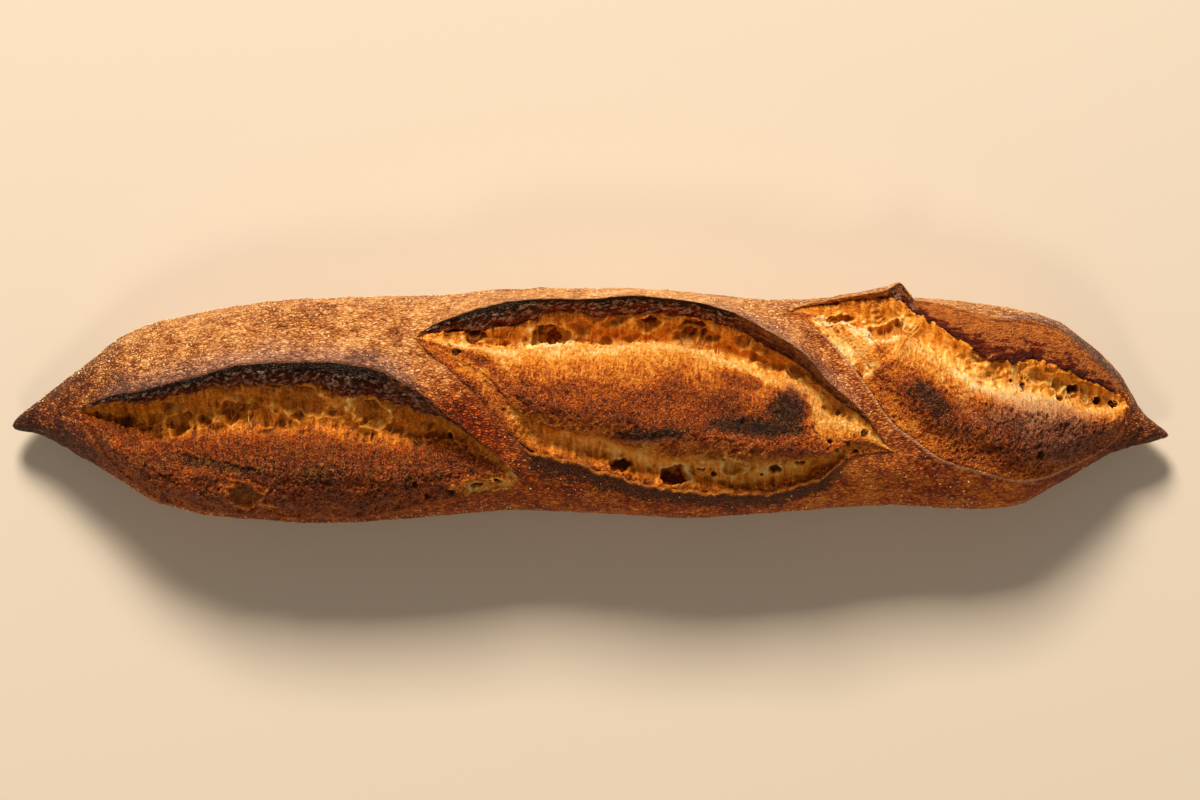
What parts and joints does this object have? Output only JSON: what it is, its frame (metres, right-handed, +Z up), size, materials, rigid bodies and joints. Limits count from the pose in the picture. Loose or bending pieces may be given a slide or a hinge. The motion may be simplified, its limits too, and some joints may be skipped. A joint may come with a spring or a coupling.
{
  "type": "baguette",
  "caption": "Slim pointed loaf of wheat bread with slanting cuts that opened into torn crumb under raised crust ears, on a flat sole.",
  "frame": {"origin": "on the ground under the middle of the loaf, at the bottom centre of its box", "axes": "+X along the loaf, +Y across it towards the side where the ears stand, +Z up"},
  "size_m": [0.364, 0.0747, 0.0548],
  "materials": {
    "crust": "matt golden brown crust, darker on the ears and paler on the torn crumb"
  },
  "bodies": {
    "root": {"baguette": "crust"}
  },
  "joints": []
}
